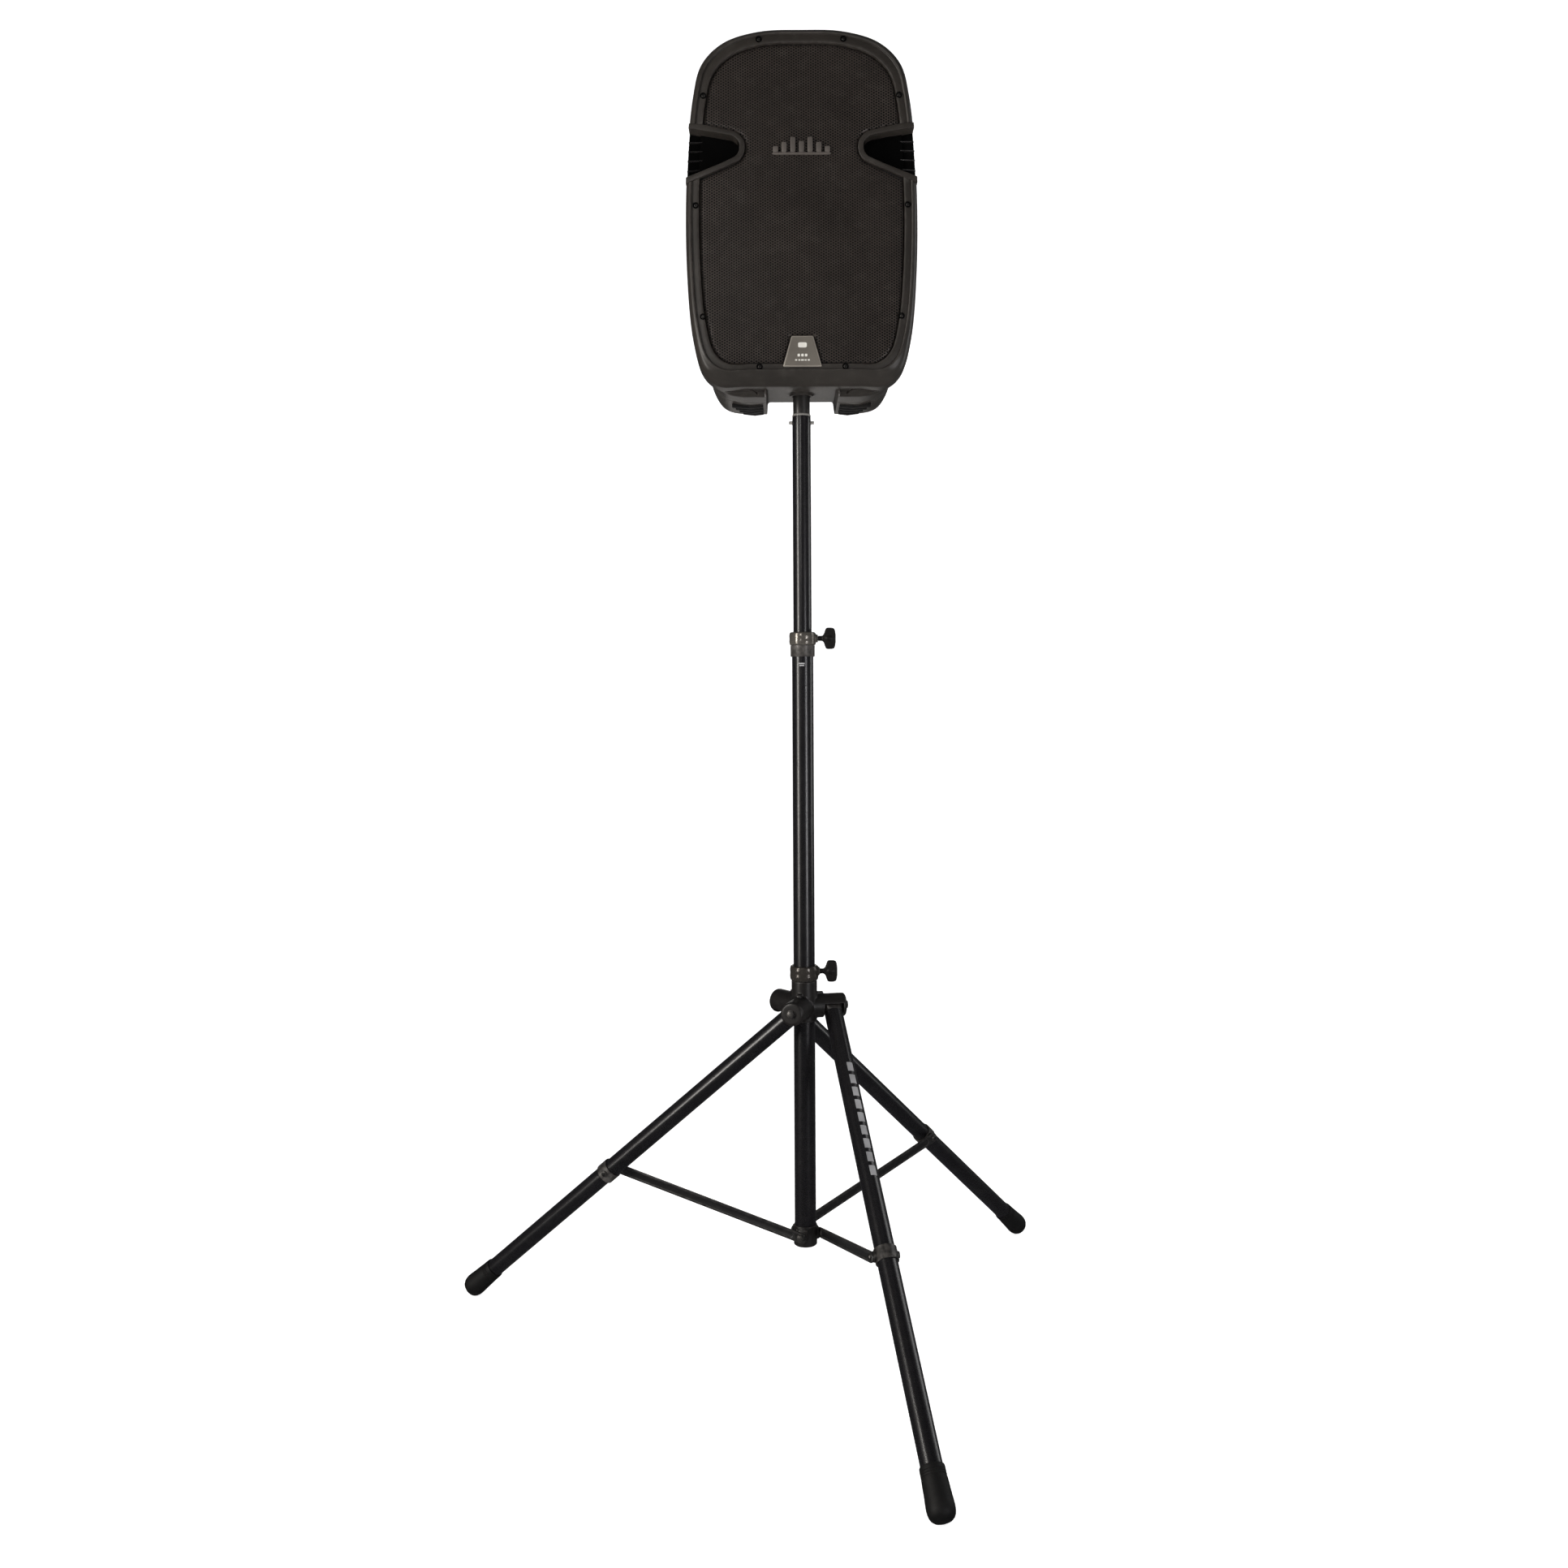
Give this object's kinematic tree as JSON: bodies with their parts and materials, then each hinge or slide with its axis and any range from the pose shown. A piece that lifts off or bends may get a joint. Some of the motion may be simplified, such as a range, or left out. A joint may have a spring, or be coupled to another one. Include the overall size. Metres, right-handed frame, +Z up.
{
  "type": "pa speaker on tripod stand",
  "caption": "Portable two-way loudspeaker with side handles and perforated grille on a telescopic pole and folding pinwheel tripod stand.",
  "frame": {"origin": "on the floor at the middle of the tripod's footprint box; the mast stands beside it because the legs leave the hub in a pinwheel", "axes": "+Z up along the mast, the speaker's grille faces -Y, +X to its right as seen from the front"},
  "size_m": [1.2987, 1.3078, 2.6351],
  "materials": {
    "housing": "finely textured moulded plastic",
    "grille": "perforated steel, powder coated",
    "foam": "open-cell foam",
    "badge": "satin",
    "liner": "moulded plastic",
    "tube": "satin powder coat",
    "brace": "satin powder coat",
    "cast": "painted die casting",
    "knob": "moulded plastic",
    "rubber": "matt",
    "bolt": "zinc plated",
    "spigot": "satin",
    "nylon": "smooth",
    "steel": "painted",
    "cone": "pulp cone and moulded horn",
    "panel": "black anodised",
    "fins": "black anodised",
    "socket": "moulded plastic",
    "board": "circuit board"
  },
  "bodies": {
    "mast": {"main_tube": "tube", "tube_collar": "cast", "collar_bush": "nylon", "base_bracket": "cast", "brace_bolt_1": "bolt", "brace_bolt_2": "bolt", "brace_bolt_3": "bolt"},
    "hub": {"hub": "cast", "hub_bush": "nylon", "leg_bolt_1": "bolt", "leg_bolt_2": "bolt", "leg_bolt_3": "bolt"},
    "hub_knob": {"hub_knob": "knob", "hub_knob_screw": "bolt"},
    "collar_knob": {"collar_knob": "knob", "collar_knob_screw": "bolt"},
    "pole": {"pole": "tube", "spigot": "spigot", "cross_pin": "bolt"},
    "socket_bush": {"socket_bush": "nylon"},
    "leg_1": {"leg_1_tube": "tube", "leg_1_knuckle": "cast", "leg_1_clamp": "cast", "leg_1_boot": "rubber"},
    "brace_1": {"brace_1": "brace"},
    "leg_2": {"leg_2_tube": "tube", "leg_2_knuckle": "cast", "leg_2_clamp": "cast", "leg_2_boot": "rubber"},
    "brace_2": {"brace_2": "brace"},
    "leg_3": {"leg_3_tube": "tube", "leg_3_knuckle": "cast", "leg_3_clamp": "cast", "leg_3_boot": "rubber"},
    "brace_3": {"brace_3": "brace"},
    "speaker": {"front_housing": "housing", "rear_housing": "housing", "grille": "grille", "grille_foam": "foam", "badge_plate": "badge", "emblem": "badge", "handle_left": "liner", "handle_right": "liner", "woofer_basket": "steel", "woofer_surround": "rubber", "woofer_cone": "cone", "woofer_dust_cap": "cone", "woofer_magnet": "steel", "horn": "cone", "compression_driver": "steel", "amp_panel": "panel", "audio_jack_1": "socket", "audio_jack_2": "socket", "power_inlet": "socket", "heat_sink": "fins", "amp_board": "board", "pole_cup": "liner"},
    "level_knob_1": {"level_knob_1": "knob"},
    "level_knob_2": {"level_knob_2": "knob"},
    "power_rocker": {"power_rocker": "knob"}
  },
  "joints": [
    {"name": "hub_slide", "type": "slide", "parent": "mast", "child": "hub", "axis": [0, 0, 1], "range_m": [0, 0.519]},
    {"name": "leg_1_fold", "type": "hinge", "parent": "hub", "child": "leg_1", "pos_m": [0.08331, 0.03627, 0.6744], "axis": [-0.3206, -0.9472, 0], "range_deg": [0, 45.05]},
    {"name": "leg_2_fold", "type": "hinge", "parent": "hub", "child": "leg_2", "pos_m": [0.06332, 0.13631, 0.6744], "axis": [-0.66, 0.7513, 0], "range_deg": [0, 45.05]},
    {"name": "leg_3_fold", "type": "hinge", "parent": "hub", "child": "leg_3", "pos_m": [0.15995, 0.1036, 0.6744], "axis": [0.9806, 0.1959, 0], "range_deg": [0, 45.05]},
    {"name": "brace_1_fold", "type": "hinge", "parent": "mast", "child": "brace_1", "pos_m": [0.09241, 0.06317, 0.2003], "axis": [0.3206, 0.9472, 0], "range_deg": [0, 70.79]},
    {"name": "brace_2_fold", "type": "hinge", "parent": "mast", "child": "brace_2", "pos_m": [0.08206, 0.11497, 0.2003], "axis": [0.66, -0.7513, 0], "range_deg": [0, 70.79]},
    {"name": "brace_3_fold", "type": "hinge", "parent": "mast", "child": "brace_3", "pos_m": [0.1321, 0.09804, 0.2003], "axis": [-0.9806, -0.1959, 0], "range_deg": [0, 70.79]},
    {"name": "hub_knob_turn", "type": "hinge", "parent": "hub", "child": "hub_knob", "pos_m": [0.10219, 0.09206, 0.7476], "axis": [1, 0, 0], "range_deg": [-540, 0]},
    {"name": "collar_knob_turn", "type": "hinge", "parent": "mast", "child": "collar_knob", "pos_m": [0.10219, 0.09206, 1.442], "axis": [1, 0, 0], "range_deg": [-540, 0]},
    {"name": "pole_slide", "type": "slide", "parent": "mast", "child": "pole", "axis": [0, 0, 1], "range_m": [-0.42, 0.28]},
    {"name": "speaker_lift", "type": "slide", "parent": "pole", "child": "socket_bush", "axis": [0, 0, 1], "range_m": [0, 0.14]},
    {"name": "speaker_swivel", "type": "hinge", "parent": "socket_bush", "child": "speaker", "pos_m": [0.10219, 0.09206, 1.926], "axis": [0, 0, 1], "continuous": true},
    {"name": "level_knob_1_turn", "type": "hinge", "parent": "speaker", "child": "level_knob_1", "pos_m": [0.13719, 0.26256, 2.211], "axis": [0, -1, 0], "range_deg": [0, 300]},
    {"name": "level_knob_2_turn", "type": "hinge", "parent": "speaker", "child": "level_knob_2", "pos_m": [0.18219, 0.26256, 2.211], "axis": [0, -1, 0], "range_deg": [0, 300]},
    {"name": "power_rocker_tilt", "type": "hinge", "parent": "speaker", "child": "power_rocker", "pos_m": [0.17219, 0.26156, 2.111], "axis": [1, 0, 0], "range_deg": [0, 16]}
  ],
  "couplings": [
    {"joint": "leg_1_fold", "follows": "hub_slide", "rad_per_m": 1.5119},
    {"joint": "leg_2_fold", "follows": "hub_slide", "rad_per_m": 1.5119},
    {"joint": "leg_3_fold", "follows": "hub_slide", "rad_per_m": 1.5119},
    {"joint": "brace_1_fold", "follows": "hub_slide", "rad_per_m": 2.3768},
    {"joint": "brace_2_fold", "follows": "hub_slide", "rad_per_m": 2.3768},
    {"joint": "brace_3_fold", "follows": "hub_slide", "rad_per_m": 2.3768}
  ]
}
